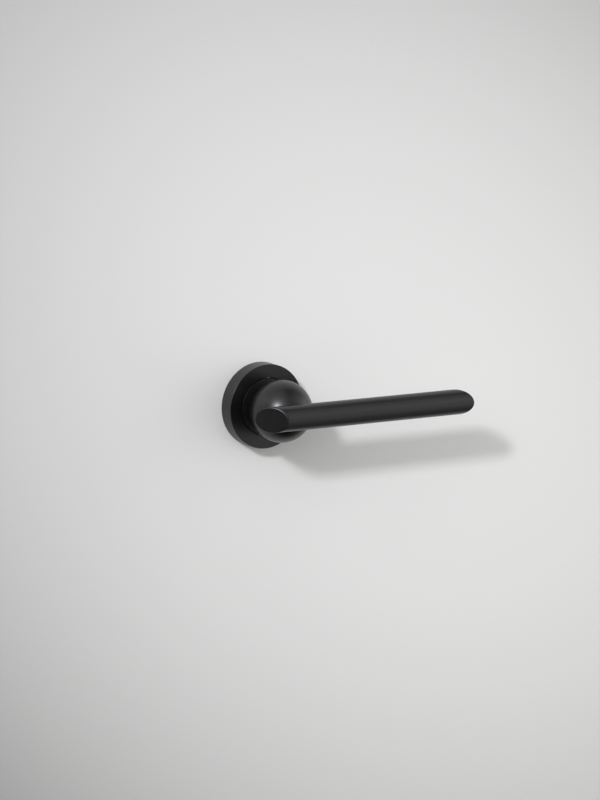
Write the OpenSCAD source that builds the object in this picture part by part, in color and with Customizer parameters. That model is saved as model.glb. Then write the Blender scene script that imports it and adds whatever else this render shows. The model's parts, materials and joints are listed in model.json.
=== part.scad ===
// Lever handle set on round roses with a tubular latch, for an interior door.
//
// Frame: millimetres, +Z up, +X along the outer lever, +Y into the door.
// The origin is on the spindle axis, in the plane of the door's outer face.
// The door itself is not part of the set: it fills the space from y = 0 to
// y = door_t. The outer half stands on y = 0, the inner half is its mirror
// image on y = door_t, and the latch runs towards -X, to the door's edge.
//
// Each half is drawn in a side frame: x along the lever, y up, z out of the
// door, so a height above the door face is a z.

/* [Door] */
// Thickness of the door the set is fitted to
door_t = 40; // [38:1:44]
// Distance from the door's edge to the spindle axis
backset = 60; // [60:1:70]

/* [Rose] */
// Outside radius of the rose
rose_r = 26; // [26:0.5:28]
// Height of the rose above the door
rose_h = 10.2; // [10:0.1:11]
// Wall of the rose's shell
rose_wall = 1.4; // [1.2:0.1:1.5]
// Radius of the round opening in the rose
rose_hole_r = 18.1; // [17.8:0.1:18.6]
// Radius of the bush's flange, which shows in the opening
flange_r = 17.4; // [17:0.1:17.5]

/* [Ball and neck] */
// Radius of the ball
ball_r = 19; // [18.5:0.1:19.5]
// Height of the ball's centre above the door
ball_d = 26.5; // [26.2:0.1:27]
// Radius of the neck that turns in the bush
neck_r = 11; // [10.8:0.1:11]

/* [Bar] */
// Radius of the bar
bar_r = 7.8; // [7.5:0.1:8]
// Height of the bar's axis above the door
bar_d = 47.6; // [47.2:0.1:48]
// Where the bar's axis meets its short end, past the spindle
bar_x0 = -20.7; // [-24:0.5:-20]
// Where the bar's axis meets its long end
bar_x1 = 115.3; // [100:0.1:125]
// Angle between the short end's face and the bar's axis
cut_a0 = 49; // [44:1:70]
// Angle between the long end's face and the bar's axis
cut_a1 = 44; // [44:1:70]

/* [Spindle and fixings] */
// Width across the flats of the square spindle
spindle_w = 8; // [7.8:0.1:8]
// Distance between the two through bolts
bolt_pitch = 38; // [38:0.5:38.5]
// How far the lever turns down, in degrees
turn = 56; // [50:1:56]

/* [Latch] */
// How far the latch bolt stands out of the faceplate
bolt_out = 9.5; // [9:0.1:9.6]
// Width of the faceplate
plate_w = 25; // [25:0.5:26]
// Length of the faceplate
plate_l = 57; // [57:1:60]
// Distance between the faceplate's screw holes
plate_pitch = 42; // [41:0.5:43]
// Thickness of the faceplate, and of the forend behind it
plate_t = 1.5; // [1.2:0.1:1.6]

/* [Hidden] */
$fn = 96;

// Clearances. Cutters also run 1 mm or more past the faces they open.
square_gap = 0.05;              // each side of the square spindle
fit_gap = 0.02;
pin_gap = 0.01;                 // round dowels and rivets

// Rose base and bush.
base_r = rose_r - 1.6;
base_h = rose_h - 1.9;
floor_z0 = 0.9;                 // floor of the base, above the washer's recess
floor_z1 = 2.0;
chamber_r = 14.1;               // spring chamber in the base
pocket_r = 17.8;                // outside of the driver's pockets
snap_z = 2.4;                   // middle of the bead that holds the cover
snap_d = 0.35;                  // how far the bead stands out
washer_r = 11.8;

// Neck, tail and the driver on it.
neck_z0 = 3.7;                  // shoulder of the neck, on the driver
tail_z0 = -2.6;                 // end of the neck's tail, inside the door
tail_r = 9.5;
tail_flat = 8.2;                // half the width over the tail's two flats
driver_z0 = 2.1;
driver_z1 = 3.6;
ear_z1 = 5.1;                   // top of the driver's ear
arm_a = turn / 2;               // driver arms stand this far above level
arm_half_a = 5;                 // half the angle an arm spans
stop_a = arm_a + arm_half_a + 3;  // end of a pocket, from level
clip_t = 1.1;
groove_r = 8.4;

// Return spring.
return_wire_r = 0.6;
return_z0 = 4.35;               // leg on the driver
return_z1 = 6.85;               // leg in the base
return_a1 = 700;                // angle of the leg in the base

// Screws, dowels and bolts.
socket_d = 20;                  // depth of the square socket
screw_r = 2;                    // bar screw and through bolts
screw_hole_r = screw_r + 0.2;
hex_af = 3;                     // hexagon sockets, across flats
screw_head_z1 = socket_d + 5;   // top of the bar screw's head
grub_z = 15;
grub_r = 3;
dowel_x = 8.5;
dowel_r = 1.5;
dowel_z0 = 34.2;
dowel_z1 = bar_d - 4.1;
sleeve_r = 3.5;
sleeve_seat_z = base_h - 2.4;   // under the sleeve's flange
sleeve_z1 = base_h - 1;
bolt_seat_z = 4;                // under the through bolt's head
counterbore_r = 4.3;

// Latch, measured from the latch axis in the middle of the door.
x_face = -backset;              // front of the faceplate
x_forend = x_face + plate_t;
x_tube0 = x_forend + plate_t;   // back of the forend
x_tube1 = -25;                  // back end of the barrel
tube_r = 11;
tube_ri = tube_r - 0.8;
head_half_w = 6;                // half the width and height of the bolt's head
head_half_h = 8;
x_head = -50;                   // back of the bolt's head
stem_r = 2.5;
x_seat0 = -30.5;
x_seat1 = -29;
x_yoke = x_seat1 + 0.05;
yoke_t = 1.5;                   // thickness of the yoke's front wall
claw_r = 10.3;                  // radius of the claw tips' centres
claw_t = 1.0;                   // radius of the claw tips
tip_x = -claw_r * sin(turn / 2);
tip_z = claw_r * cos(turn / 2);
tab_x = tip_x + claw_t + 0.1;   // front of the yoke's tabs
tab_t = 1.4;
journal_r = 7;                  // hub, where it turns in the side plates
side_y0 = 5;                    // inside and outside of the side plates
side_y1 = 6.5;
front_rivet_r = 1.2;
rear_rivet_r = 1.5;

// ---------------------------------------------------------------- helpers

// Side frame to door frame.
module outer_side() { rotate([90, 0, 0]) children(); }
module inner_side() { translate([0, door_t, 0]) mirror([0, 1, 0]) outer_side() children(); }
// The latch's frame.
module at_latch() { translate([0, door_t / 2, 0]) children(); }

// Two copies, one each side of a centre.
module pair(offset, centre = [0, 0, 0]) {
  for (side = [-1, 1]) translate(centre + side * offset) children();
}
module at_dowels() { pair([dowel_x, 0, 0]) children(); }
module at_bolts() { pair([0, bolt_pitch / 2, 0]) children(); }
module at_front_rivets() { pair([0, 0, 6.4], [-27, 0, 0]) children(); }
module at_rear_rivets() { pair([0, 0, 6.5], [10.8, 0, 0]) children(); }

// Rods along Z, X and Y.
module rod(radius, z0, z1) { translate([0, 0, z0]) cylinder(r = radius, h = z1 - z0); }
module rod_x(radius, x0, x1) {
  translate([x0, 0, 0]) rotate([0, 90, 0]) cylinder(r = radius, h = x1 - x0);
}
module rod_y(radius, y0, y1) {
  translate([0, y0, 0]) rotate([-90, 0, 0]) cylinder(r = radius, h = y1 - y0);
}
module tube(outer_r, inner_r, z0, z1) {
  difference() {
    rod(outer_r, z0, z1);
    rod(inner_r, z0 - 1, z1 + 1);
  }
}
// Box between two opposite corners.
module box(low, high) { translate(low) cube(high - low); }
// Hexagon socket.
module hex(z0, z1) {
  translate([0, 0, z0]) cylinder(r = hex_af / 2 / cos(30), h = z1 - z0, $fn = 6);
}
// A ring sector: radii r0 to r1, angles a0 to a1, heights z0 to z1.
module sector(r0, r1, a0, a1, z0, z1) {
  rotate([0, 0, a0]) rotate_extrude(angle = a1 - a0)
    polygon([[r0, z0], [r1, z0], [r1, z1], [r0, z1]]);
}
// Prism along Y of an outline drawn in X and Z.
module slab_y(y0, y1) {
  translate([0, y1, 0]) rotate([90, 0, 0]) linear_extrude(height = y1 - y0) children();
}
function arc(centre, radius, a0, a1, steps) =
  [for (i = [0:steps]) let (angle = a0 + (a1 - a0) * i / steps)
    [centre[0] + radius * cos(angle), centre[1] + radius * sin(angle)]];
// Curve from start to finish, pulled towards a third point.
function bend(start, pull, finish, steps) =
  [for (i = [0:steps]) let (t = i / steps)
    (1 - t) * (1 - t) * start + 2 * t * (1 - t) * pull + t * t * finish];

// Wire along a path that never runs along Z, with a ring of points at each station.
function unit(v) = v / norm(v);
module wire(path, radius, sides = 8) {
  last = len(path) - 1;
  tangent = [for (i = [0:last]) unit(path[min(i + 1, last)] - path[max(i - 1, 0)])];
  across = [for (t = tangent) unit(cross(t, [0, 0, 1]))];
  rings = [for (i = [0:last]) for (k = [0:sides - 1])
    path[i] + radius * (cos(360 * k / sides) * across[i]
                        + sin(360 * k / sides) * cross(across[i], tangent[i]))];
  walls = [for (i = [0:last - 1]) for (k = [0:sides - 1])
    let (this = i * sides + k, next = i * sides + (k + 1) % sides)
    each [[this, next, next + sides], [this, next + sides, this + sides]]];
  polyhedron(points = rings, convexity = 10,
    faces = concat(walls,
      [[for (k = [0:sides - 1]) sides - 1 - k]],
      [[for (k = [0:sides - 1]) last * sides + k]]));
}

// ------------------------------------------------------- pieces of a half

// Round bar with both ends cut at a slant.
module lever_bar() {
  lean0 = 1 / tan(cut_a0);      // run along the bar for each mm of height
  lean1 = 1 / tan(cut_a1);
  reach = bar_r + 2;
  spare = 12;                   // bar left over for the cuts
  difference() {
    intersection() {
      translate([0, 0, bar_d]) rod_x(bar_r, bar_x0 - spare, bar_x1 + spare);
      slab_y(-12, 12)
        polygon([[bar_x0 - lean0 * reach, bar_d - reach], [bar_x1 - lean1 * reach, bar_d - reach],
                 [bar_x1 + lean1 * reach, bar_d + reach], [bar_x0 + lean0 * reach, bar_d + reach]]);
    }
    // Tapped hole and dowel holes in the bar's back.
    rod(screw_r + fit_gap, bar_d - 12, bar_d - 1.4);
    at_dowels() rod(dowel_r + pin_gap, bar_d - 12, dowel_z1 + 0.3);
  }
}

module ball_hub() {
  socket = spindle_w / 2 + square_gap;
  difference() {
    union() {
      translate([0, 0, ball_d]) sphere(r = ball_r);
      rod(neck_r, neck_z0, ball_d - 10);
      // Tail with two flats, which turns the driver.
      intersection() {
        rod(tail_r, tail_z0, neck_z0 + 1);
        box([-tail_flat, -20, -10], [tail_flat, 20, 10]);
      }
    }
    // Square socket, counterbore and through hole for the bar's screw.
    box([-socket, -socket, -10], [socket, socket, socket_d]);
    rod(3.75, socket_d - 1, screw_head_z1);
    rod(screw_hole_r, screw_head_z1 - 1, bar_d);
    // Saddle for the bar.
    translate([0, 0, bar_d]) rod_x(bar_r + fit_gap, -40, 40);
    at_dowels() rod(dowel_r + pin_gap, dowel_z0 - 0.1, bar_d);
    // Hole for the grub screw, from below.
    translate([0, 0, grub_z]) rod_y(grub_r + fit_gap, -30, -2);
    // Groove for the circlip.
    tube(12, groove_r, -clip_t - 0.05, 0.05);
  }
}

module bar_screw() {
  difference() {
    union() {
      rod(3.5, socket_d + 1, screw_head_z1);
      rod(screw_r, screw_head_z1 - 1, bar_d - 2.2);
    }
    hex(socket_d, socket_d + 3);
  }
}

module bar_dowels() { at_dowels() rod(dowel_r, dowel_z0, dowel_z1); }

module grub_screw() {
  difference() {
    translate([0, 0, grub_z]) rod_y(grub_r, -13.4, -spindle_w / 2);
    translate([0, 0, grub_z]) rotate([90, 0, 0]) hex(10.2, 15);
  }
}

module bearing_bush() {
  bore_r = neck_r + 0.06;
  body_r = chamber_r - 0.04;
  body_z0 = rose_h - 2.6;
  chamfer = 0.45;
  rotate_extrude() polygon([
    [bore_r, body_z0], [body_r, body_z0], [body_r, base_h], [flange_r, base_h],
    [flange_r, rose_h - chamfer], [flange_r - chamfer, rose_h],
    [neck_r + 0.4, rose_h], [bore_r, rose_h - 0.34]]);
}

module rose_cover() {
  inside_r = base_r + 0.2;
  inside_z = rose_h - rose_wall;
  rim = 0.35;                   // chamfers at the rim and the opening
  lip = 0.25;
  fillet = 0.6;
  groove_ri = inside_r + snap_d;
  difference() {
    rotate_extrude() polygon([
      [rose_r, 0], [rose_r, rose_h - rim], [rose_r - rim, rose_h],
      [rose_hole_r + lip, rose_h], [rose_hole_r, rose_h - lip], [rose_hole_r, inside_z],
      [inside_r - fillet, inside_z], [inside_r, inside_z - fillet],
      [inside_r, snap_z + 1], [groove_ri, snap_z + 0.6],
      [groove_ri, snap_z - 0.6], [inside_r, snap_z - 1], [inside_r, 0]]);
    // Notch for a thin blade, at the bottom.
    box([-3, -rose_r - 1, -1], [3, -base_r + 0.3, 1]);
  }
}

module rose_base_body() {
  difference() {
    union() {
      rod(base_r, 0, base_h);
      // Bead that the cover snaps over.
      rotate_extrude() polygon([
        [base_r - 1, snap_z - 0.8], [base_r, snap_z - 0.8], [base_r + snap_d, snap_z - 0.4],
        [base_r + snap_d, snap_z + 0.4], [base_r, snap_z + 0.8], [base_r - 1, snap_z + 0.8]]);
    }
    rod(chamber_r, floor_z1, base_h + 1);
    rod(tail_r + 0.08, -1, base_h);
    rod(washer_r + 0.3, -1, floor_z0);
    // Pockets in which the driver's arms swing. The first also takes the ear
    // and the spring's leg.
    sector(chamber_r - 1, pocket_r, -arm_a - 15, stop_a, floor_z1, ear_z1 + 0.3);
    sector(chamber_r - 1, pocket_r, 180 - stop_a, 180 + stop_a, floor_z1, driver_z1 + 0.4);
    // Slot for the fixed leg of the return spring.
    rotate([0, 0, return_a1 - 720])
      box([chamber_r - 1, -0.8, return_z1 - 0.75], [pocket_r, 0.8, base_h + 1]);
    // Cast pockets.
    for (angle = [24, 114, 204, 294])
      sector(19.2, base_r - 1.6, angle, angle + 42, floor_z1, base_h + 1);
  }
}

// Base with a hole of hole_r for each bolt, counterbored down to seat_z.
module rose_base(hole_r, seat_z) {
  difference() {
    rose_base_body();
    at_bolts() {
      rod(hole_r, -1, base_h + 1);
      rod(counterbore_r, seat_z, base_h + 1);
    }
  }
}
module outer_rose_base() { rose_base(sleeve_r + 0.05, sleeve_seat_z); }
module inner_rose_base() { rose_base(screw_hole_r, bolt_seat_z); }

// Torsion spring: one leg on the driver's ear, the other in the base.
module return_spring() {
  coil_r = 12.6;
  leg_r = coil_r + 2;           // where the legs begin to curve into the coil
  start_a = arm_a - 9;
  lead_a = 9;                   // angle each of those curves takes
  steps = 44;
  function at(angle, radius, z) = [radius * cos(angle), radius * sin(angle), z];
  function rise(angle) =
    return_z0 + (return_z1 - return_z0) * (angle - start_a) / (return_a1 - start_a);
  coil = [for (i = [0:steps])
    let (angle = start_a + lead_a + (return_a1 - start_a - 2 * lead_a) * i / steps)
    at(angle, coil_r, rise(angle))];
  start = bend(at(start_a, leg_r, return_z0), at(start_a, coil_r, return_z0), coil[0], 4);
  stop = bend(coil[steps], at(return_a1, coil_r, return_z1), at(return_a1, leg_r, return_z1), 4);
  path = concat([at(start_a, 16.4, return_z0)], start,
    [for (i = [1:steps - 1]) coil[i]], stop, [at(return_a1, pocket_r - 0.3, return_z1)]);
  wire(path, return_wire_r);
}

// Steel plate on the tail's flats. Its two arms swing in the base's pockets.
module spring_driver() {
  tip_r = 17.2;
  flat = tail_flat + 0.05;
  difference() {
    union() {
      rod(13.2, driver_z0, driver_z1);
      for (angle = [arm_a, 180 + arm_a])
        sector(11, tip_r, angle - arm_half_a, angle + arm_half_a, driver_z0, driver_z1);
      // Ear that pushes the spring's leg.
      sector(14.5, tip_r, arm_a - arm_half_a, arm_a + arm_half_a, driver_z0, ear_z1);
    }
    intersection() {
      rod(tail_r + 0.05, 0, 6);
      box([-flat, -20, -1], [flat, 20, 10]);
    }
  }
}

module thrust_washer() { tube(washer_r, tail_r + 0.15, 0.05, floor_z0 - 0.05); }

// Open ring with an eyed lug on each side of its gap, at the top.
module circlip() {
  inner_r = groove_r + fit_gap;
  lug_angles = [75, 105];
  difference() {
    union() {
      tube(10.2, inner_r, -clip_t, 0);
      for (angle = lug_angles) rotate([0, 0, angle]) translate([9.7, 0, 0]) rod(1.6, -clip_t, 0);
    }
    rod(inner_r, -clip_t - 1, 1);
    rotate([0, 0, 90]) translate([0, 0, -5]) linear_extrude(height = 10)
      polygon([[0, 0], [14, -1.9], [14, 1.9]]);
    for (angle = lug_angles)
      rotate([0, 0, angle]) translate([10, 0, 0]) rod(0.65, -clip_t - 1, 1);
  }
}

// ------------------------------------------------------- through the door

module spindle() {
  half = spindle_w / 2;
  reach = socket_d - 0.5;
  color("silver") box([-half, -reach, -half], [half, door_t + reach, half]);
}

// Flanged sleeves with an inside thread, let into the outer base.
module sleeve_nuts() {
  color("silver") outer_side() at_bolts() difference() {
    union() {
      rod(sleeve_r, -12, sleeve_z1);
      rod(4.2, sleeve_seat_z, sleeve_z1);
    }
    rod(screw_r + 0.03, -13, base_h - 3);
    // Screwdriver slot.
    box([-5, -0.6, sleeve_z1 - 0.9], [5, 0.6, base_h]);
  }
}

// Bolts from the inner base into the sleeves.
module through_bolts() {
  color("silver") inner_side() at_bolts() difference() {
    union() {
      rod(3.9, bolt_seat_z, bolt_seat_z + 3);
      rod(screw_r, -door_t + 1, bolt_seat_z + 0.5);
    }
    hex(bolt_seat_z + 1, bolt_seat_z + 4);
  }
}

// ------------------------------------------------------------------ latch

// Rounded plate across the latch axis, from x0 to x1.
module plate(x0, x1) {
  corner_r = 6;
  half_w = plate_w / 2 - corner_r;
  half_l = plate_l / 2 - corner_r;
  corners = [[half_l, half_w], [-half_l, half_w], [-half_l, -half_w], [half_l, -half_w]];
  translate([x0, 0, 0]) rotate([0, 90, 0]) linear_extrude(height = x1 - x0)
    polygon([for (i = [0:3]) each arc(corners[i], corner_r, 90 * i, 90 * (i + 1), 8)]);
}

// The screws' countersinks run through the faceplate and just into the forend.
module countersinks() {
  pair([0, 0, plate_pitch / 2], [x_face - 0.3, 0, 0])
    rotate([0, 90, 0]) cylinder(r1 = 4.2, r2 = 2.2, h = 2.0);
}

module latch_faceplate() {
  half_w = head_half_w + 0.15;
  half_h = head_half_h + 0.15;
  color("gainsboro") at_latch() difference() {
    plate(x_face, x_forend);
    box([x_face - 1, -half_w, -half_h], [x_forend + 1, half_w, half_h]);
    countersinks();
  }
}

module latch_forend() {
  color("silver") at_latch() difference() {
    plate(x_forend, x_tube0);
    // The barrel is pressed through this hole and stops behind the faceplate.
    rod_x(tube_r + 0.03, x_forend - 1, x_tube0 + 1);
    pair([0, 0, plate_pitch / 2]) rod_x(2.2, x_forend - 1, x_tube0 + 1);
    countersinks();
  }
}

module latch_barrel() {
  color("silver") at_latch() difference() {
    rotate([0, 90, 0]) tube(tube_r, tube_ri, x_forend + 0.1, x_tube1);
    at_front_rivets() rod_y(front_rivet_r + pin_gap, -20, 20);
  }
}

module latch_bolt() {
  x_nose = x_face - bolt_out;
  color("silver") at_latch() union() {
    translate([0, 0, -head_half_h]) linear_extrude(height = 2 * head_half_h)
      polygon(concat([[x_head, -head_half_w], [x_head, head_half_w], [x_nose, head_half_w]],
        bend([x_nose, 2.8], [x_nose + 3.4, -3.0], [x_face - 0.4, -head_half_w], 8)));
    rod_x(stem_r, x_head - 1, x_seat1 + 2);
    // Riveted end behind the yoke.
    rod_x(3.4, x_yoke + yoke_t + 0.03, x_seat1 + 2.6);
  }
}

// Compression spring between the bolt's head and the seat.
module latch_spring() {
  coil_r = 4.4;
  wire_r = 0.45;
  end_pitch = 1.0;              // pitch of the closed end coils
  length = x_seat0 - x_head - 2 * wire_r - 2 * fit_gap;
  turns = 8.5;
  steps = 20;                   // for each turn
  function advance(t) = t < 1 ? end_pitch * t
    : t > turns - 1 ? length - end_pitch * (turns - t)
    : end_pitch + (length - 2 * end_pitch) * (t - 1) / (turns - 2);
  path = [for (i = [0:steps * turns]) let (t = i / steps)
    [coil_r * cos(360 * t), coil_r * sin(360 * t), advance(t)]];
  color("gray") at_latch() translate([x_head + wire_r + fit_gap, 0, 0]) rotate([0, 90, 0])
    wire(path, wire_r, 6);
}

module latch_spring_seat() {
  color("silver") at_latch() difference() {
    rod_x(tube_ri - 0.03, x_seat0, x_seat1);
    rod_x(stem_r + 0.2, x_seat0 - 1, x_seat1 + 1);
  }
}

// Fork between the bolt's stem and the hub's claws.
module latch_yoke() {
  x_end = tab_x + tab_t;
  // Side view: x, z.
  outline = [
    [x_yoke, 5], [-21.5, 5], [-19, 11], [x_end, 11], [x_end, 7.3], [-17.2, 7.3],
    [-17.2, -7.3], [x_end, -7.3], [x_end, -11], [-19, -11], [-21.5, -5], [x_yoke, -5]];
  color("silver") at_latch() difference() {
    union() {
      slab_y(3.5, 4.7) polygon(outline);
      slab_y(-4.7, -3.5) polygon(outline);
      box([x_yoke, -4, -5], [x_yoke + yoke_t, 4, 5]);
      // Tabs that the claws push.
      box([tab_x, -4, 8.5], [x_end, 4, 11]);
      box([tab_x, -4, -11], [x_end, 4, -8.5]);
    }
    rod_x(stem_r + 0.03, x_yoke - 1, x_yoke + 3);
  }
}

// Hub that the spindle turns, with a claw above and one below.
module latch_hub() {
  half_t = 3.3;                 // half the thickness of the claws
  socket = spindle_w / 2 + square_gap;
  root_r = 1.95;
  root = [tip_x + claw_t - root_r, 5.2];
  tip = [tip_x, tip_z];
  join_a = 2 * atan2(root[1] - tip[1], root[0] - tip[0]) + 360;
  claw = concat(arc(tip, claw_t, 0, join_a, 8), arc(root, root_r, join_a, 360, 12));
  color("gainsboro") at_latch() difference() {
    union() {
      rod_y(journal_r, -6.9, 6.9);
      rod_y(8.3, -half_t, half_t);
      slab_y(-half_t, half_t) polygon(claw);
      mirror([0, 0, 1]) slab_y(-half_t, half_t) polygon(claw);
    }
    box([-socket, -10, -socket], [socket, 10, socket]);
  }
}

// Side plate, with a tongue that reaches forward into the barrel.
module side_plate(y0, y1) {
  x_step = x_tube1 + 0.2;
  // Side view: x, z.
  outline = [
    [x_seat1, -7.6], [x_seat1, 7.6], [x_step, 7.6], [x_step, 10.4], [11.5, 10.4], [13.5, 8.4],
    [13.5, -8.4], [11.5, -10.4], [x_step, -10.4], [x_step, -7.6]];
  color("silver") at_latch() difference() {
    slab_y(y0, y1) polygon(outline);
    rod_y(journal_r + 0.06, -20, 20);
    at_rear_rivets() rod_y(rear_rivet_r + pin_gap, -20, 20);
    at_front_rivets() rod_y(front_rivet_r + pin_gap, -20, 20);
  }
}
module latch_outer_side_plate() { side_plate(-side_y1, -side_y0); }
module latch_inner_side_plate() { side_plate(side_y0, side_y1); }

module latch_front_rivets() {
  color("silver") at_latch() at_front_rivets() rod_y(front_rivet_r, -9.3, 9.3);
}

// Each has a thicker part between the side plates and a head outside each.
module latch_rear_rivets() {
  spacer = side_y0 - fit_gap;
  head_y0 = side_y1 + fit_gap;
  head_y1 = 7.3;
  color("silver") at_latch() at_rear_rivets() {
    rod_y(rear_rivet_r, -7.2, 7.2);
    rod_y(2.2, -spacer, spacer);
    rod_y(2.5, head_y0, head_y1);
    rod_y(2.5, -head_y1, -head_y0);
  }
}

// ---------------------------------------------------------------- drawing

color("#1b1b1c") outer_side() lever_bar();  // outer_lever_bar
color("#1b1b1c") outer_side() ball_hub();  // outer_ball_hub
color("dimgray") outer_side() bar_screw();  // outer_bar_screw
color("silver") outer_side() bar_dowels();  // outer_bar_dowels
color("#222222") outer_side() grub_screw();  // outer_grub_screw
color("#121213") outer_side() bearing_bush();  // outer_bearing_bush
color("#1b1b1c") outer_side() rose_cover();  // outer_rose_cover
color("darkgray") outer_side() outer_rose_base();
color("gray") outer_side() return_spring();  // outer_return_spring
color("silver") outer_side() spring_driver();  // outer_spring_driver
color("silver") outer_side() thrust_washer();  // outer_thrust_washer
color("#333333") outer_side() circlip();  // outer_circlip
color("#1b1b1c") inner_side() lever_bar();  // inner_lever_bar
color("#1b1b1c") inner_side() ball_hub();  // inner_ball_hub
color("dimgray") inner_side() bar_screw();  // inner_bar_screw
color("silver") inner_side() bar_dowels();  // inner_bar_dowels
color("#222222") inner_side() grub_screw();  // inner_grub_screw
color("#121213") inner_side() bearing_bush();  // inner_bearing_bush
color("#1b1b1c") inner_side() rose_cover();  // inner_rose_cover
color("darkgray") inner_side() inner_rose_base();
color("gray") inner_side() return_spring();  // inner_return_spring
color("silver") inner_side() spring_driver();  // inner_spring_driver
color("silver") inner_side() thrust_washer();  // inner_thrust_washer
color("#333333") inner_side() circlip();  // inner_circlip
spindle();
sleeve_nuts();
through_bolts();
latch_faceplate();
latch_forend();
latch_barrel();
latch_bolt();
latch_spring();
latch_spring_seat();
latch_yoke();
latch_hub();
latch_outer_side_plate();
latch_inner_side_plate();
latch_front_rivets();
latch_rear_rivets();
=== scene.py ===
import json
import math

import bmesh
import bpy
import numpy as np
from mathutils import Matrix, Vector

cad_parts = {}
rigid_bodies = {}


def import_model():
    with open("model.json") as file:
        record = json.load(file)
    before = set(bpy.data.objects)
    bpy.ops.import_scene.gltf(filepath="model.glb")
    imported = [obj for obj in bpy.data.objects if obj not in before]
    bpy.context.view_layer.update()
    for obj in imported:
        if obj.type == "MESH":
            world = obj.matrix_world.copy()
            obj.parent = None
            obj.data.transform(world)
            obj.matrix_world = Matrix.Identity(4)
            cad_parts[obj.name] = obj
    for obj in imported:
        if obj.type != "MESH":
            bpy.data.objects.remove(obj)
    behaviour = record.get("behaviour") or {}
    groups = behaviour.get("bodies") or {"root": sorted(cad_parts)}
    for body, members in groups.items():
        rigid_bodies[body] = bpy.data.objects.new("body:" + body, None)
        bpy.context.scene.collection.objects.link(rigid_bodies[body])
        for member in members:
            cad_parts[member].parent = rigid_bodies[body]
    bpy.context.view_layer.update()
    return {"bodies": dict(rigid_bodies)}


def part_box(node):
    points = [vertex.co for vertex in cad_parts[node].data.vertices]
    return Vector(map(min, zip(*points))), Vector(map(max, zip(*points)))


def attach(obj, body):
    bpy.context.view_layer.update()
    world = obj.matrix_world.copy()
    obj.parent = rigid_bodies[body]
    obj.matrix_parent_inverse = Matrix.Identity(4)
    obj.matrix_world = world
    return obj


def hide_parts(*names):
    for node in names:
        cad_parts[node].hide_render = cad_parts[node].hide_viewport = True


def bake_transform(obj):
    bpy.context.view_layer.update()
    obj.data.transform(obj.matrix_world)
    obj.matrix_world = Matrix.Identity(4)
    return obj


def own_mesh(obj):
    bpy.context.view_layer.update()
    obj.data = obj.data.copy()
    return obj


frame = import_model()

# Lengths below are millimetres in the part's own frames; place_*() turns them into the row frame in metres.
MM = 0.001
ROOT, OUTER, INNER = "door_hardware", "outer_lever", "inner_lever"
HUB_BODY, BOLT_BODY = "latch_follower", "latch_bolt_and_yoke"


def span(node, axis):
    lo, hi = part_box(node)
    return lo[axis] / MM, hi[axis] / MM


DOOR = span("inner_rose_base", 1)[0]
ROSE_R = span("outer_rose_cover", 0)[1]
ROSE_H = -span("outer_rose_cover", 1)[0]
FLANGE_R = span("outer_bearing_bush", 0)[1]
BAR_Y0, BAR_Y1 = span("outer_lever_bar", 1)
BAR_R = (BAR_Y1 - BAR_Y0) / 2
BAR_D = -(BAR_Y0 + BAR_Y1) / 2
BAR_X0, BAR_X1 = span("outer_lever_bar", 0)
K0, K1 = 1 / math.tan(math.radians(49)), 1 / math.tan(math.radians(44))
BALL_R, BALL_D = 19.0, 26.5
BASE_R, BASE_H = ROSE_R - 1.6, ROSE_H - 1.9
HOLE_R = 18.1
CHAMBER_R, TAIL_R, GROOVE_R, POCKET_R = 14.1, 9.5, 8.4, 17.8
TURN = 56.0
BOLT_Z = 19.0
X_FACE = span("latch_faceplate", 0)[0]
X_FOREND = X_FACE + 1.5
X_TUBE0 = X_FOREND + 1.5
X_NOSE = span("latch_bolt", 0)[0]


# ------------------------------------------------------------------ frames
def place_outer(v):
    return np.stack([v[:, 0], -v[:, 2], v[:, 1]], 1) * MM


def place_inner(v):
    return np.stack([v[:, 0], DOOR + v[:, 2], v[:, 1]], 1) * MM


def place_latch(v):
    return np.stack([v[:, 0], DOOR / 2 + v[:, 1], v[:, 2]], 1) * MM


def place_row(v):
    return v * MM


MIRRORED = {place_inner}


# ----------------------------------------------------------- mesh in mm
def temp(verts, faces):
    me = bpy.data.meshes.new("t")
    me.from_pydata([tuple(map(float, v)) for v in verts], [], [tuple(map(int, f)) for f in faces])
    me.update()
    ob = bpy.data.objects.new("t", me)
    bpy.context.scene.collection.objects.link(ob)
    return ob


def tidy(ob, dist=1e-4):
    bm = bmesh.new()
    bm.from_mesh(ob.data)
    bmesh.ops.remove_doubles(bm, verts=bm.verts, dist=dist)
    bmesh.ops.dissolve_degenerate(bm, edges=bm.edges, dist=dist / 2)
    bmesh.ops.recalc_face_normals(bm, faces=bm.faces)
    bm.to_mesh(ob.data)
    bm.free()
    return ob


def move(ob, m):
    ob.data.transform(m)
    if m.determinant() < 0:
        ob.data.flip_normals()
    return ob


def along_x(ob):
    """A piece drawn round z now runs along x: z to x, x to z, y kept with its sense."""
    return move(ob, Matrix(((0, 0, 1, 0), (0, 1, 0, 0), (-1, 0, 0, 0), (0, 0, 0, 1))))


def along_y(ob):
    """z to y."""
    return move(ob, Matrix(((1, 0, 0, 0), (0, 0, 1, 0), (0, -1, 0, 0), (0, 0, 0, 1))))


def at(ob, x=0.0, y=0.0, z=0.0):
    return move(ob, Matrix.Translation((x, y, z)))


def arc_pts(c, r, a0, a1, n):
    return [(c[0] + r * math.cos(math.radians(a0 + (a1 - a0) * i / n)),
             c[1] + r * math.sin(math.radians(a0 + (a1 - a0) * i / n))) for i in range(n + 1)]


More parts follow.
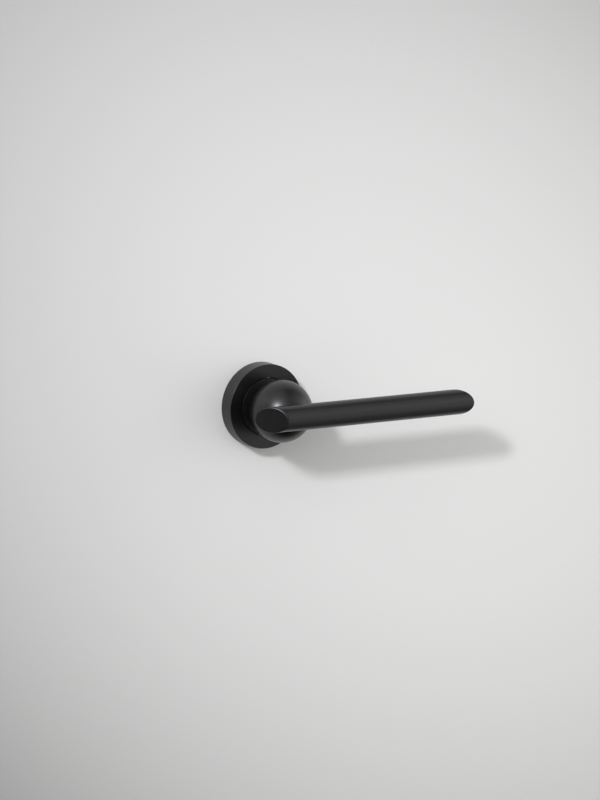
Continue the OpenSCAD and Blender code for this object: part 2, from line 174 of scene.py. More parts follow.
def fillet(pts, radii, n=6, closed=True):
    """Rounds the corners of a 2-D outline. radii: {index: radius} or one radius for all."""
    out, m = [], len(pts)
    for i, p in enumerate(pts):
        r = radii.get(i, 0) if isinstance(radii, dict) else radii
        if r <= 0 or (not closed and i in (0, m - 1)):
            out.append(p)
            continue
        a, b, c = (np.array(pts[i - 1], float), np.array(p, float), np.array(pts[(i + 1) % m], float))
        u, v = (a - b), (c - b)
        lu, lv = np.linalg.norm(u), np.linalg.norm(v)
        u, v = u / lu, v / lv
        ang = math.acos(max(-1, min(1, float(u @ v))))
        if ang < 0.02 or ang > math.pi - 0.02:
            out.append(p)
            continue
        t = min(r / math.tan(ang / 2), 0.49 * lu, 0.49 * lv)
        r = t * math.tan(ang / 2)
        centre = b + (u + v) / np.linalg.norm(u + v) * (r / math.sin(ang / 2))
        p0, p1 = b + u * t, b + v * t
        a0 = math.atan2(p0[1] - centre[1], p0[0] - centre[0])
        a1 = math.atan2(p1[1] - centre[1], p1[0] - centre[0])
        d = (a1 - a0 + math.pi) % (2 * math.pi) - math.pi
        for k in range(n + 1):
            w = a0 + d * k / n
            out.append((float(centre[0] + r * math.cos(w)), float(centre[1] + r * math.sin(w))))
    return out


def lathe(profile, seg=160, closed=True):
    """Turns an (r, z) outline round z. Points with r = 0 become poles."""
    verts, faces, rows = [], [], []
    for r, z in profile:
        if r < 1e-6:
            rows.append([len(verts)] * seg)
            verts.append((0, 0, z))
        else:
            rows.append(list(range(len(verts), len(verts) + seg)))
            for k in range(seg):
                a = 2 * math.pi * k / seg
                verts.append((r * math.cos(a), r * math.sin(a), z))
    m = len(profile)
    for i in range(m if closed else m - 1):
        A, B = rows[i], rows[(i + 1) % m]
        for k in range(seg):
            q = [A[k], A[(k + 1) % seg], B[(k + 1) % seg], B[k]]
            q = [v for j, v in enumerate(q) if v not in q[:j]]
            if len(q) > 2:
                faces.append(q)
    return tidy(temp(verts, faces))


def cyl(r, z0, z1, seg=96, c=0.0):
    """A rod round z, with edges broken by c."""
    if c:
        return lathe([(0, z0), (r - c, z0), (r - c * 0.3, z0 + c * 0.3), (r, z0 + c),
                      (r, z1 - c), (r - c * 0.3, z1 - c * 0.3), (r - c, z1), (0, z1)], seg, closed=False)
    return lathe([(0, z0), (r, z0), (r, z1), (0, z1)], seg, closed=False)


def cone(r0, r1, z0, z1, seg=96):
    return lathe([(0, z0), (r0, z0), (r1, z1), (0, z1)], seg, closed=False)


def prism(pts, z0, z1):
    """Upright prism of an outline in x and y."""
    n = len(pts)
    verts = [(x, y, z0) for x, y in pts] + [(x, y, z1) for x, y in pts]
    faces = [list(range(n))[::-1], list(range(n, 2 * n))]
    faces += [[i, (i + 1) % n, n + (i + 1) % n, n + i] for i in range(n)]
    return tidy(temp(verts, faces))


def slab_y(pts, y0, y1):
    """Prism along y of an outline in x and z."""
    ob = prism([(x, -z) for x, z in pts], y0, y1)
    return move(ob, Matrix(((1, 0, 0, 0), (0, 0, 1, 0), (0, -1, 0, 0), (0, 0, 0, 1))))


def box(a, b):
    return prism([(a[0], a[1]), (b[0], a[1]), (b[0], b[1]), (a[0], b[1])], a[2], b[2])


def hexagon(af, z0, z1):
    r = af / 2 / math.cos(math.radians(30))
    return prism(arc_pts((0, 0), r, 0, 300, 5), z0, z1)


def sector(r0, r1, a0, a1, z0, z1, n=28):
    return prism(arc_pts((0, 0), r1, a0, a1, n) + arc_pts((0, 0), r0, a1, a0, n), z0, z1)


def apply_mods(ob):
    dg = bpy.context.evaluated_depsgraph_get()
    dg.update()
    me = bpy.data.meshes.new_from_object(ob.evaluated_get(dg))
    ob.modifiers.clear()
    ob.data = me
    return ob


def boolean(ob, others, op="DIFFERENCE"):
    for o in others:
        m = ob.modifiers.new("b", "BOOLEAN")
        m.object, m.operation, m.solver = o, op, "EXACT"
    apply_mods(ob)
    for o in others:
        bpy.data.objects.remove(o)
    return tidy(ob, 5e-4)


def cut(ob, *others):
    return boolean(ob, others)


def join(ob, *others):
    return boolean(ob, others, "UNION")


def soften(ob, width, segments=2, angle=35):
    """Breaks every edge sharper than angle."""
    m = ob.modifiers.new("v", "BEVEL")
    m.width, m.segments, m.limit_method = width, segments, "ANGLE"
    m.angle_limit, m.harden_normals, m.profile = math.radians(angle), False, 0.5
    m.miter_outer = "MITER_ARC"
    return apply_mods(ob)


def several(*obs):
    """Separate shells in one mesh."""
    a = obs[0]
    bm = bmesh.new()
    for o in obs:
        bm.from_mesh(o.data)
    bm.to_mesh(a.data)
    bm.free()
    for o in obs[1:]:
        bpy.data.objects.remove(o)
    return a


def copy(ob):
    n = bpy.data.objects.new("t", ob.data.copy())
    bpy.context.scene.collection.objects.link(n)
    return n


def wire(path, w, n=16):
    """Round wire along a path, with rounded ends."""
    path = [np.array(p, float) for p in path]
    m = len(path)
    tang = []
    for i in range(m):
        t = path[min(i + 1, m - 1)] - path[max(i - 1, 0)]
        tang.append(t / np.linalg.norm(t))
    rows = []
    caps = [(-0.98, 0.2), (-0.8, 0.6), (-0.4, 0.92)]
    def ring(p, t, r):
        s = np.cross(t, (0, 0, 1.0))
        s /= np.linalg.norm(s)
        u = np.cross(s, t)
        return [p + r * (math.cos(2 * math.pi * k / n) * s + math.sin(2 * math.pi * k / n) * u) for k in range(n)]
    for d, r in caps:
        rows.append(ring(path[0] + tang[0] * w * (0.5 + 0.5 * d), tang[0], w * r))
    for p, t in zip(path[1:-1], tang[1:-1]):
        rows.append(ring(p, t, w))
    for d, r in caps[::-1]:
        rows.append(ring(path[-1] - tang[-1] * w * (0.5 + 0.5 * d), tang[-1], w * r))
    verts = [v for row in rows for v in row]
    faces = []
    for i in range(len(rows) - 1):
        for k in range(n):
            a, b = i * n + k, i * n + (k + 1) % n
            faces.append([a, b, b + n, a + n])
    faces.append(list(range(n))[::-1])
    faces.append(list(range((len(rows) - 1) * n, len(rows) * n)))
    return tidy(temp(verts, faces), 1e-5)


def bend(a, b, c, n):
    a, b, c = (np.array(v, float) for v in (a, b, c))
    return [(1 - t) ** 2 * a + 2 * t * (1 - t) * b + t * t * c for t in [i / n for i in range(n + 1)]]


def thread(r, depth, pitch, z0, z1, seg=28, inside=False):
    """Helical thread surface as an open-ended rod, or as a plain bore wall with no thread depth when inside: rows
    follow the helix, and run out at both ends.
    """
    shape = [(0.0, 0.0), (0.12, 0.0), (0.45, 1.0), (0.62, 1.0), (0.95, 0.0)]
    turns = int(math.ceil((z1 - z0) / pitch)) + 1
    rows = []
    for t in range(-1, turns):
        for s, d in shape:
            row = []
            for k in range(seg):
                z = z0 + (t + s + k / seg) * pitch
                zc = min(max(z, z0), z1)
                fade = min(1.0, max(0.0, (zc - z0) / (0.7 * pitch)), max(0.0, (z1 - zc) / (0.7 * pitch)))
                rr = r - depth * (1 - (1 - d) * fade) if not inside else r + depth * (1 - (1 - d) * fade) * 0
                row.append((rr, 2 * math.pi * k / seg, zc))
            rows.append(row)
    return rows, len(shape)


def threaded_rod(r, depth, pitch, z0, z1, seg=28, tip=0.5):
    """Rod with a real helical thread."""
    rows, per = thread(r, depth, pitch, z0 + tip, z1, seg)
    verts, faces = [], []
    for row in rows:
        for rr, a, z in row:
            verts.append((rr * math.cos(a), rr * math.sin(a), z))
    R = len(rows)
    for i in range(R - 1):
        for k in range(seg - 1):
            a = i * seg + k
            faces.append([a, a + 1, a + seg + 1, a + seg])
        if i + 1 + per < R:
            # after a full turn, the row has climbed one pitch
            a, b = i * seg + seg - 1, (i + per) * seg
            faces.append([a, b, b + seg, a + seg])
    ob = temp(verts, faces)
    bm = bmesh.new()
    bm.from_mesh(ob.data)
    bmesh.ops.remove_doubles(bm, verts=bm.verts, dist=2e-4)
    # close both ends
    edges = [e for e in bm.edges if e.is_boundary]
    bmesh.ops.holes_fill(bm, edges=edges, sides=0)
    bmesh.ops.recalc_face_normals(bm, faces=bm.faces)
    bm.to_mesh(ob.data)
    bm.free()
    if tip:
        c = cone(r - depth - 0.35, r - depth, z0, z0 + tip + 0.02, seg)
        ob = several(ob, c)
    return ob


# ------------------------------------------------------------- materials
def new_mat(name):
    m = bpy.data.materials.new(name)
    m.use_nodes = True
    nt = m.node_tree
    nt.nodes.clear()
    out = nt.nodes.new("ShaderNodeOutputMaterial")
    bs = nt.nodes.new("ShaderNodeBsdfPrincipled")
    nt.links.new(bs.outputs[0], out.inputs[0])
    return m, nt, bs


class Net:
    """Short names for the nodes the materials use."""

    def __init__(self, nt):
        self.nt = nt
        self.co = nt.nodes.new("ShaderNodeTexCoord").outputs["Object"]

    def link(self, a, b):
        self.nt.links.new(a, b)

    def put(self, socket, v):
        if isinstance(v, (int, float)):
            socket.default_value = v
        elif isinstance(v, tuple):
            socket.default_value = v if len(v) == len(socket.default_value) else (*v, 1.0)
        else:
            self.link(v, socket)

    def noise(self, scale, detail=3.0, rough=0.55, stretch=None, distort=0.0, offset=(0, 0, 0)):
        n = self.nt.nodes.new("ShaderNodeTexNoise")
        n.inputs["Scale"].default_value = scale
        n.inputs["Detail"].default_value = detail
        n.inputs["Roughness"].default_value = rough
        n.inputs["Distortion"].default_value = distort
        m = self.nt.nodes.new("ShaderNodeMapping")
        m.inputs["Scale"].default_value = stretch or (1, 1, 1)
        m.inputs["Location"].default_value = offset
        self.link(self.co, m.inputs["Vector"])
        self.link(m.outputs[0], n.inputs["Vector"])
        return n.outputs["Fac"]

    def cells(self, scale, feature="F1"):
        n = self.nt.nodes.new("ShaderNodeTexVoronoi")
        n.feature = feature
        n.inputs["Scale"].default_value = scale
        self.link(self.co, n.inputs["Vector"])
        return n.outputs["Distance"]

    def math(self, op, a, b=0.0, c=0.0, clamp=False):
        n = self.nt.nodes.new("ShaderNodeMath")
        n.operation, n.use_clamp = op, clamp
        for s, v in zip(n.inputs, (a, b, c)):
            self.put(s, v)
        return n.outputs[0]

    def remap(self, v, a, b, c, d, smooth=False):
        n = self.nt.nodes.new("ShaderNodeMapRange")
        n.interpolation_type = "SMOOTHSTEP" if smooth else "LINEAR"
        for s, x in zip(n.inputs, (v, a, b, c, d)):
            self.put(s, x)
        return n.outputs[0]

    def mix(self, f, a, b):
        n = self.nt.nodes.new("ShaderNodeMix")
        n.data_type = "RGBA"
        self.put(n.inputs["Factor"], f)
        self.put(n.inputs["A"], a)
        self.put(n.inputs["B"], b)
        return n.outputs["Result"]

    def bump(self, height, distance, strength=1.0, normal=None):
        n = self.nt.nodes.new("ShaderNodeBump")
        n.inputs["Strength"].default_value = strength
        n.inputs["Distance"].default_value = distance
        self.link(height, n.inputs["Height"])
        if normal is not None:
            self.link(normal, n.inputs["Normal"])
        return n.outputs[0]

    def edge(self, radius, lo=0.0, hi=0.12):
        """1 along convex and concave edges within radius, 0 on open faces."""
        b = self.nt.nodes.new("ShaderNodeBevel")
        b.samples = 4
        b.inputs["Radius"].default_value = radius
        g = self.nt.nodes.new("ShaderNodeNewGeometry")
        d = self.nt.nodes.new("ShaderNodeVectorMath")
        d.operation = "DOT_PRODUCT"
        self.link(b.outputs[0], d.inputs[0])
        self.link(g.outputs["Normal"], d.inputs[1])
        return self.remap(self.math("SUBTRACT", 1.0, d.outputs["Value"]), lo, hi, 0.0, 1.0, True)


def black_coat():
    """Satin powder coat: fine even grain, a slight waviness under it, edges a little burnished."""
    m, nt, bs = new_mat("satin_black_coat")
    n = Net(nt)
    grain = n.noise(5200, 2.0, 0.6)
    wave = n.noise(420, 2.0, 0.5)
    cloud = n.noise(38, 3.0, 0.6)
    speck = n.remap(n.cells(900), 0.0, 0.10, 1.0, 0.0, True)
    wear = n.math("MULTIPLY", n.edge(0.00035, 0.03, 0.3), n.remap(n.noise(260, 3.0, 0.7), 0.45, 0.72, 0.0, 1.0, True))
    base = n.mix(n.remap(cloud, 0.3, 0.7, 0.0, 1.0), (0.0018, 0.0018, 0.0021), (0.0036, 0.0036, 0.0040))
    base = n.mix(n.math("MULTIPLY", speck, 0.2), base, (0.009, 0.009, 0.0095))
    base = n.mix(n.math("MULTIPLY", wear, 0.3), base, (0.03, 0.03, 0.031))
    n.link(base, bs.inputs["Base Color"])
    rough = n.remap(cloud, 0.25, 0.75, 0.32, 0.375)
    rough = n.math("ADD", rough, n.remap(grain, 0.3, 0.7, -0.03, 0.03))
    rough = n.math("SUBTRACT", rough, n.math("MULTIPLY", wear, 0.08), clamp=True)
    n.link(rough, bs.inputs["Roughness"])
    bs.inputs["Specular IOR Level"].default_value = 0.55
    bs.inputs["Specular Tint"].default_value = (0.96, 0.955, 1.0, 1)
    bs.inputs["IOR"].default_value = 1.5
    b = n.bump(grain, 0.000012, 0.55)
    b = n.bump(wave, 0.00003, 0.25, b)
    n.link(b, bs.inputs["Normal"])
    return m


def black_nylon():
    m, nt, bs = new_mat("moulded_black_nylon")
    n = Net(nt)
    grain = n.noise(3500, 2.0, 0.6)
    cloud = n.noise(60, 3.0, 0.6)
    rings = nt.nodes.new("ShaderNodeTexWave")
    rings.wave_type, rings.rings_direction = "RINGS", "Y"
    rings.inputs["Scale"].default_value = 900
    n.link(n.co, rings.inputs["Vector"])
    n.link(n.mix(cloud, (0.0022, 0.0022, 0.0024), (0.0042, 0.0042, 0.0045)), bs.inputs["Base Color"])
    n.link(n.remap(cloud, 0.3, 0.7, 0.42, 0.52), bs.inputs["Roughness"])
    bs.inputs["Specular IOR Level"].default_value = 0.42
    b = n.bump(grain, 0.000012, 0.5)
    b = n.bump(rings.outputs["Fac"], 0.000006, 0.25, b)
    n.link(b, bs.inputs["Normal"])
    return m


def zinc_cast(name, lo, hi, rough, metallic=0.85):
    """Die-cast surface: soft mottle, flow marks, small pits, brighter along edges."""
    m, nt, bs = new_mat(name)
    n = Net(nt)
    mottle = n.noise(190, 4.0, 0.62)
    flow = n.noise(55, 3.0, 0.55, stretch=(1, 1, 4), distort=0.8)
    pits = n.remap(n.cells(420), 0.0, 0.16, 1.0, 0.0, True)
    keep = n.remap(n.noise(130, 2.0), 0.52, 0.62, 0.0, 1.0, True)
    pits = n.math("MULTIPLY", pits, keep)
    edge = n.edge(0.0004, 0.02, 0.25)
    c = n.mix(n.remap(mottle, 0.3, 0.7, 0.0, 1.0), lo, hi)
    c = n.mix(n.math("MULTIPLY", n.remap(flow, 0.5, 0.7, 0.0, 1.0), 0.25), c, tuple(x * 0.72 for x in lo))
    c = n.mix(n.math("MULTIPLY", pits, 0.5), c, tuple(x * 0.4 for x in lo))
    c = n.mix(n.math("MULTIPLY", edge, 0.5), c, tuple(min(1.0, x * 1.25) for x in hi))
    n.link(c, bs.inputs["Base Color"])
    bs.inputs["Metallic"].default_value = metallic
    r = n.remap(mottle, 0.3, 0.7, rough - 0.06, rough + 0.08)
    n.link(n.math("SUBTRACT", r, n.math("MULTIPLY", edge, 0.1)), bs.inputs["Roughness"])
    b = n.bump(mottle, 0.00003, 0.3)
    b = n.bump(n.math("SUBTRACT", 1.0, pits), 0.00004, 0.5, b)
    n.link(b, bs.inputs["Normal"])
    return m


def steel(name, lo, hi, rough, stretch, scale=900, line=0.35, edge_gain=1.25, dirt=0.0, hue=None, hard=0.00001):
    """Drawn, brushed or turned steel: fine lines along the direction with the small stretch."""
    m, nt, bs = new_mat(name)
    n = Net(nt)
    lines = n.noise(scale, 4.0, 0.7, stretch=stretch)
    broad = n.noise(scale / 9, 3.0, 0.6, stretch=stretch)
    cloud = n.noise(70, 4.0, 0.6, distort=0.6)
    edge = n.edge(0.0003, 0.03, 0.3)
    c = n.mix(n.remap(lines, 0.32, 0.68, 0.0, 1.0), lo, hi)
    c = n.mix(n.math("MULTIPLY", n.remap(broad, 0.4, 0.7, 0.0, 1.0), 0.3), c, tuple(x * 0.82 for x in lo))
    if hue:
        c = n.mix(n.math("MULTIPLY", n.remap(cloud, 0.45, 0.7, 0.0, 1.0), 0.55), c, hue)
    if dirt:
        c = n.mix(n.math("MULTIPLY", n.remap(n.noise(160, 5.0, 0.7), 0.52, 0.75, 0.0, 1.0), dirt), c, tuple(x * 0.35 for x in lo))
    c = n.mix(n.math("MULTIPLY", edge, 0.5), c, tuple(min(1.0, x * edge_gain) for x in hi))
    n.link(c, bs.inputs["Base Color"])
    bs.inputs["Metallic"].default_value = 1.0
    r = n.remap(lines, 0.3, 0.7, rough - line * 0.25, rough + line * 0.25)
    r = n.math("ADD", r, n.remap(cloud, 0.3, 0.7, -0.05, 0.06))
    n.link(n.math("SUBTRACT", r, n.math("MULTIPLY", edge, 0.08), clamp=True), bs.inputs["Roughness"])
    n.link(n.bump(lines, hard, line), bs.inputs["Normal"])
    return m


def painted_gap_shade_ring(m):
    """Painted shade: the ring of the casting that shows through the rose's opening is coloured near black, standing in
    for the shade in the narrow gap there, so no bare metal shows in the gap.
    """
    nt = m.node_tree
    n = Net(nt)
    bs = [k for k in nt.nodes if k.type == "BSDF_PRINCIPLED"][0]
    xyz = nt.nodes.new("ShaderNodeSeparateXYZ")
    n.link(n.co, xyz.inputs[0])
    x, y, z = xyz.outputs
    r = n.math("SQRT", n.math("ADD", n.math("MULTIPLY", x, x), n.math("MULTIPLY", z, z)))
    top = (BASE_H - 0.5) * MM
    face = n.math("ADD", n.math("LESS_THAN", y, -top), n.math("GREATER_THAN", y, DOOR * MM + top))
    wobble = n.remap(n.noise(300, 3.0), 0.3, 0.7, 0.0190, 0.0196)
    gap_shade_mask = n.math("MULTIPLY", face, n.remap(n.math("SUBTRACT", r, wobble), -0.0002, 0.0002, 1.0, 0.0, True), clamp=True)
    # painted shade: inside the ring the base colour is mixed to near black, and its metal and gloss are taken off
    n.link(n.mix(gap_shade_mask, bs.inputs["Base Color"].links[0].from_socket, (0.004, 0.004, 0.004)), bs.inputs["Base Color"])
    n.link(n.math("MULTIPLY", n.math("SUBTRACT", 1.0, gap_shade_mask), bs.inputs["Metallic"].default_value), bs.inputs["Metallic"])
    n.link(n.remap(gap_shade_mask, 0.0, 1.0, bs.inputs["Roughness"].links[0].from_socket, 0.6), bs.inputs["Roughness"])
    return m


COAT = black_coat()
NYLON = black_nylon()
ZINC = zinc_cast("die_cast_zinc", (0.30, 0.305, 0.315), (0.46, 0.465, 0.475), 0.48)
# the rose base casting, with painted shade on the ring that shows through the rose's opening
BASE_ZINC = painted_gap_shade_ring(zinc_cast("die_cast_zinc_base", (0.30, 0.305, 0.315), (0.46, 0.465, 0.475), 0.48))
NICKEL = zinc_cast("nickel_plated_casting", (0.46, 0.44, 0.40), (0.60, 0.58, 0.54), 0.30, 1.0)
PLATED = steel("zinc_plated_steel", (0.42, 0.44, 0.47), (0.62, 0.64, 0.67), 0.34, (1, 1, 1), 700, 0.25, hue=(0.50, 0.50, 0.44))
SPINDLE = steel("drawn_square_steel", (0.40, 0.42, 0.45), (0.62, 0.64, 0.67), 0.32, (1, 0.03, 1), 900, 0.4, hue=(0.50, 0.50, 0.44))
INOX = steel("brushed_stainless", (0.42, 0.41, 0.395), (0.66, 0.65, 0.63), 0.33, (1, 1, 0.02), 1500, 0.5)
BRIGHT = steel("turned_steel", (0.40, 0.40, 0.41), (0.60, 0.60, 0.61), 0.28, (1, 0.05, 1), 900, 0.3)
SPRING = steel("oiled_spring_wire", (0.13, 0.13, 0.135), (0.30, 0.30, 0.31), 0.30, (1, 1, 1), 1200, 0.35, dirt=0.5)
OXIDE = steel("black_oxide_steel", (0.020, 0.020, 0.022), (0.055, 0.055, 0.06), 0.36, (1, 1, 1), 900, 0.3, edge_gain=2.2, dirt=0.3)


# ------------------------------------------------------- handing a piece over
def done(ob, name, place, body, nodes, mat, slot, smooth=30, ride=True, weighted=True):
    v = np.zeros(len(ob.data.vertices) * 3, np.float64)
    ob.data.vertices.foreach_get("co", v)
    v = place(v.reshape(-1, 3))
    me = ob.data
    me.vertices.foreach_set("co", v.ravel())
    if place in MIRRORED:
        me.flip_normals()
    me.update()
    me.shade_smooth()
    me.set_sharp_from_angle(angle=math.radians(smooth))
    me.materials.clear()
    me.materials.append(mat)
    ob.name = name
    me.name = name
    if weighted:
        w = ob.modifiers.new("normals", "WEIGHTED_NORMAL")
        w.keep_sharp, w.weight = True, 50
    if ride:
        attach(ob, body)
    if nodes:
        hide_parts(*nodes)
    return ob


# ---------------------------------------------------------- pieces of a half
def lever_bar():
    """Round bar whose two ends are cut at a slant, edges just broken."""
    N, a = 224, 0.78
    th = np.arange(N) * 2 * math.pi / N
    f, y = BAR_R * np.cos(th), BAR_R * np.sin(th)
    x0 = BAR_X0 + K0 * BAR_R          # axis crossing of each end's plane
    x1 = BAR_X1 - K1 * BAR_R
    rows = []

    def end(xa, k, s):
        """s = +1: the bar's body lies towards +x of this end."""
        P = np.stack([xa + k * f, y, BAR_D + f], 1)
        T = np.stack([-k * np.sin(th), np.cos(th), -np.sin(th)], 1)
        T /= np.linalg.norm(T, axis=1)[:, None]
        radial = np.stack([0 * th, np.sin(th), np.cos(th)], 1)
        u1 = np.cross(T, radial)
        u1 *= np.sign(u1[:, :1] * s)
        normal = np.array([1.0, 0, -k])
        normal /= np.linalg.norm(normal)
        u2 = np.cross(T, normal)
        c = np.array([xa, 0, BAR_D])
        u2 *= np.sign(((c - P) * u2).sum(1))[:, None]
        A, B = P + u1 * a, P + u2 * a
        out = [(1 - t) ** 2 * A + 2 * t * (1 - t) * P + t * t * B for t in np.linspace(0, 1, 10)]
        flat = [c + (B - c) * w for w in (0.97, 0.8, 0.55, 0.3, 0.12)]
        return out, flat, c

    o0, fl0, c0 = end(x0, K0, 1)
    o1, fl1, c1 = end(x1, K1, -1)
    rows = fl0[::-1] + o0[::-1]
    for t in np.linspace(0, 1, 42)[1:-1]:
        rows.append(o0[0] * (1 - t) + o1[0] * t)
    # keep the long walls exactly on the cylinder
    rows += o1 + fl1
    verts = [tuple(c0)] + [tuple(v) for r in rows for v in r] + [tuple(c1)]
    faces = [[0, 1 + (k + 1) % N, 1 + k] for k in range(N)]
    for i in range(len(rows) - 1):
        for k in range(N):
            p, q = 1 + i * N + k, 1 + i * N + (k + 1) % N
            faces.append([p, q, q + N, p + N])
    last = len(verts) - 1
    b = 1 + (len(rows) - 1) * N
    faces += [[last, b + k, b + (k + 1) % N] for k in range(N)]
    ob = tidy(temp(verts, faces), 1e-5)
    return cut(ob, cyl(2.02, BAR_D - 12, BAR_D - 1.4, 40),
               *[at(cyl(1.51, BAR_D - 12, BAR_D - 3.8, 32), x) for x in (-8.5, 8.5)])


def ball_hub():
    low = -math.degrees(math.acos(11.0 / BALL_R))
    arc = [(BALL_R * math.cos(math.radians(a)), BALL_D + BALL_R * math.sin(math.radians(a)))
           for a in np.linspace(90, low, 110)]
    arc[0] = (0, BALL_D + BALL_R)
    prof = arc + [(11.0, 3.95), (10.75, 3.7), (TAIL_R, 3.7), (TAIL_R, 0.05), (GROOVE_R, 0.05),
                  (GROOVE_R, -1.15), (TAIL_R, -1.15), (TAIL_R, -2.3), (TAIL_R - 0.3, -2.6), (0, -2.6)]
    ob = lathe(prof, 224, closed=False)
    s = 4.05
    mouth = temp([(-s - .6, -s - .6, -3.2), (s + .6, -s - .6, -3.2), (s + .6, s + .6, -3.2), (-s - .6, s + .6, -3.2),
                  (-s, -s, -2.1), (s, -s, -2.1), (s, s, -2.1), (-s, s, -2.1)],
                 [(3, 2, 1, 0), (4, 5, 6, 7), (0, 1, 5, 4), (1, 2, 6, 5), (2, 3, 7, 6), (3, 0, 4, 7)])
    grub = move(cyl(3.02, 2, 30, 64), Matrix.Rotation(math.radians(90), 4, "X"))
    lip = move(cone(2.9, 3.6, 14.2, 15.6, 64), Matrix.Rotation(math.radians(90), 4, "X"))
    return cut(ob,
               box((8.2, -20, -4), (20, 20, 3.7)), box((-20, -20, -4), (-8.2, 20, 3.7)),
               box((-s, -s, -5), (s, s, 20)), mouth,
               cyl(3.75, 19, 25, 64), cyl(2.2, 24, 50, 48),
               at(along_x(cyl(BAR_R + 0.02, -40, 40, 224)), z=BAR_D),
               at(cyl(1.51, 34.1, 50, 32), -8.5), at(cyl(1.51, 34.1, 50, 32), 8.5),
               at(grub, z=15), at(lip, z=15))


def rose_cover():
    ri, zi = BASE_R + 0.2, ROSE_H - 1.4
    pts = [(ROSE_R, 0), (ROSE_R, ROSE_H), (HOLE_R, ROSE_H), (HOLE_R, zi), (ri, zi), (ri, 3.4),
           (ri + 0.35, 3.0), (ri + 0.35, 1.8), (ri, 1.4), (ri, 0)]
    ob = lathe(fillet(pts, {0: 0.12, 1: 0.3, 2: 0.09, 3: 0.12, 4: 0.8, 9: 0.12}, 7), 288)
    return cut(ob, soften(box((-3, -ROSE_R - 1, -1), (3, -BASE_R + 0.3, 1)), 0.35, 3))


def bearing_bush():
    r, z = 11.06, ROSE_H
    pts = [(r, z - 2.6), (CHAMBER_R - 0.04, z - 2.6), (CHAMBER_R - 0.04, BASE_H), (FLANGE_R, BASE_H),
           (FLANGE_R, z), (r, z)]
    return lathe(fillet(pts, {1: 0.3, 3: 0.15, 4: 0.12, 5: 0.3}, 7), 256)


def rose_base(inner):
    pts = [(9.58, 0.9), (12.1, 0.9), (12.1, 0), (BASE_R, 0), (BASE_R, 1.6), (BASE_R + 0.35, 2.0),
           (BASE_R + 0.35, 2.8), (BASE_R, 3.2), (BASE_R, BASE_H), (CHAMBER_R, BASE_H), (CHAMBER_R, 2.0), (9.58, 2.0)]
    ob = lathe(fillet(pts, {0: 0.1, 2: 0.2, 3: 0.3, 8: 0.4, 9: 0.3, 11: 0.1}, 4), 192)
    arm = TURN / 2
    cuts = [sector(CHAMBER_R - 1, POCKET_R, -arm - 15, arm + 8, 2.0, 5.4, 40),
            sector(CHAMBER_R - 1, POCKET_R, 180 - arm - 8, 180 + arm + 8, 2.0, 4.0, 40),
            move(box((CHAMBER_R - 1, -0.8, 6.1), (POCKET_R, 0.8, BASE_H + 1)), Matrix.Rotation(math.radians(-20), 4, "Z"))]
    for a in (24, 114, 204, 294):
        cuts.append(soften(sector(19.2, BASE_R - 1.6, a, a + 42, 2.0, BASE_H + 3, 24), 0.6, 3))
    for y in (-BOLT_Z, BOLT_Z):
        if inner:
            cuts += [at(cyl(2.2, -1, BASE_H + 1, 48), y=y), at(cyl(4.3, 4, BASE_H + 1, 64), y=y),
                     at(cone(2.7, 2.1, -0.1, 0.5, 48), y=y)]
        else:
            cuts += [at(cyl(3.55, -1, BASE_H + 1, 64), y=y), at(cyl(4.3, BASE_H - 2.4, BASE_H + 1, 64), y=y),
                     at(cone(4.0, 3.4, -0.1, 0.5, 64), y=y)]
    return cut(ob, *cuts)


def return_spring():
    r, w, z0, z1 = 12.6, 0.6, 4.35, 6.85
    a0, a1, n, d = TURN / 2 - 9, 700.0, 150, 9.0

    def p(a, rr, z):
        return (rr * math.cos(math.radians(a)), rr * math.sin(math.radians(a)), z)

    def zz(a):
        return z0 + (z1 - z0) * (a - a0) / (a1 - a0)

    coil = [p(a, r, zz(a)) for a in np.linspace(a0 + d, a1 - d, n + 1)]
    path = [p(a0, 16.4, z0)] + bend(p(a0, r + 2, z0), p(a0, r, z0), coil[0], 8) + coil[1:-1]
    path += bend(coil[-1], p(a1, r, z1), p(a1, r + 2, z1), 8) + [p(a1, POCKET_R - 0.3, z1)]
    return wire(path, w)


def spring_driver():
    ob = cyl(13.2, 2.1, 3.6, 160, 0.15)
    arm = TURN / 2
    ob = join(ob, sector(11, 17.2, arm - 5, arm + 5, 2.1, 3.6), sector(11, 17.2, 175 + arm, 185 + arm, 2.1, 3.6),
              sector(14.5, 17.2, arm - 5, arm + 5, 2.2, 5.1))
    hole = cut(cyl(TAIL_R + 0.05, 0, 6, 128), box((8.25, -20, -1), (20, 20, 7)), box((-20, -20, -1), (-8.25, 20, 7)))
    return cut(ob, hole)


def thrust_washer():
    return lathe(fillet([(TAIL_R + 0.15, 0.05), (11.8, 0.05), (11.8, 0.85), (TAIL_R + 0.15, 0.85)], 0.15, 3), 160)


def circlip():
    g = GROOVE_R + 0.02
    ring = lathe([(g, -1.1), (10.2, -1.1), (10.2, 0), (g, 0)], 200)
    ears = [at(cyl(1.6, -1.1, 0, 48), 9.7 * math.cos(math.radians(a)), 9.7 * math.sin(math.radians(a))) for a in (75, 105)]
    ring = join(ring, *ears)
    gap = prism([(0, 0), (1.9, 14), (-1.9, 14)], -3, 2)
    holes = [at(cyl(0.65, -2, 1, 32), 10 * math.cos(math.radians(a)), 10 * math.sin(math.radians(a))) for a in (75, 105)]
    ring = cut(ring, cyl(g, -2, 1, 200), gap, *holes)
    return soften(ring, 0.09, 2, 40)


def bar_screw():
    head = lathe(fillet([(0, 21), (3.5, 21), (3.5, 25), (0, 25)], {1: 0.35, 2: 0.12}, 4, closed=False), 96, closed=False)
    head = cut(head, hexagon(3, 20, 23), cone(1.95, 1.6, 20.9, 21.2, 48))
    shank = threaded_rod(2.0, 0.36, 0.7, 0, 20.6, 28)
    shank = move(shank, Matrix(((1, 0, 0, 0), (0, -1, 0, 0), (0, 0, -1, BAR_D - 2.2), (0, 0, 0, 1))))
    return several(head, shank)


def bar_dowels():
    return several(*[at(cyl(1.5, 34.2, BAR_D - 4.1, 40, 0.25), x) for x in (-8.5, 8.5)])


